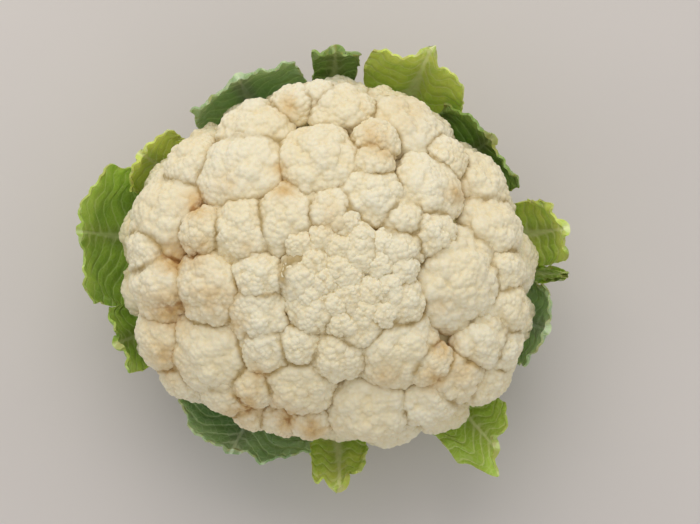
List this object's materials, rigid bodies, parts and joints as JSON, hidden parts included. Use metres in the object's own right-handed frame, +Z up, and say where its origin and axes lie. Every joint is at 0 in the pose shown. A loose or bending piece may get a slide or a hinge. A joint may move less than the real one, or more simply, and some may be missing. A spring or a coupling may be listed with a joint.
{
  "type": "cauliflower",
  "caption": "Whole trimmed cauliflower: a domed cream head of packed florets in a ring of cut green leaves, standing on its cut stalk.",
  "frame": {"origin": "middle of the stalk's flat cut face, on the surface that it stands on", "axes": "+Z up, +X to the right and +Y away, as seen from in front; the head leans 8 degrees toward -Y"},
  "size_m": [0.222, 0.2017, 0.1337],
  "materials": {
    "curd": "matte, finely grained",
    "stalk": "matte, moist cut face",
    "leaf_bright": "waxy, half matte",
    "leaf_mid": "waxy, half matte",
    "leaf_dark": "waxy, half matte",
    "leaf_blue": "waxy bloom, half matte"
  },
  "bodies": {
    "root": {"curd": "curd", "stalk": "stalk", "leaf_01": "leaf_bright", "leaf_02": "leaf_dark", "leaf_03": "leaf_bright", "leaf_04": "leaf_dark", "leaf_05": "leaf_blue", "leaf_06": "leaf_bright", "leaf_07": "leaf_mid", "leaf_08": "leaf_mid", "leaf_09": "leaf_blue", "leaf_10": "leaf_bright", "leaf_11": "leaf_bright", "leaf_12": "leaf_blue", "leaf_13": "leaf_mid"}
  },
  "joints": []
}
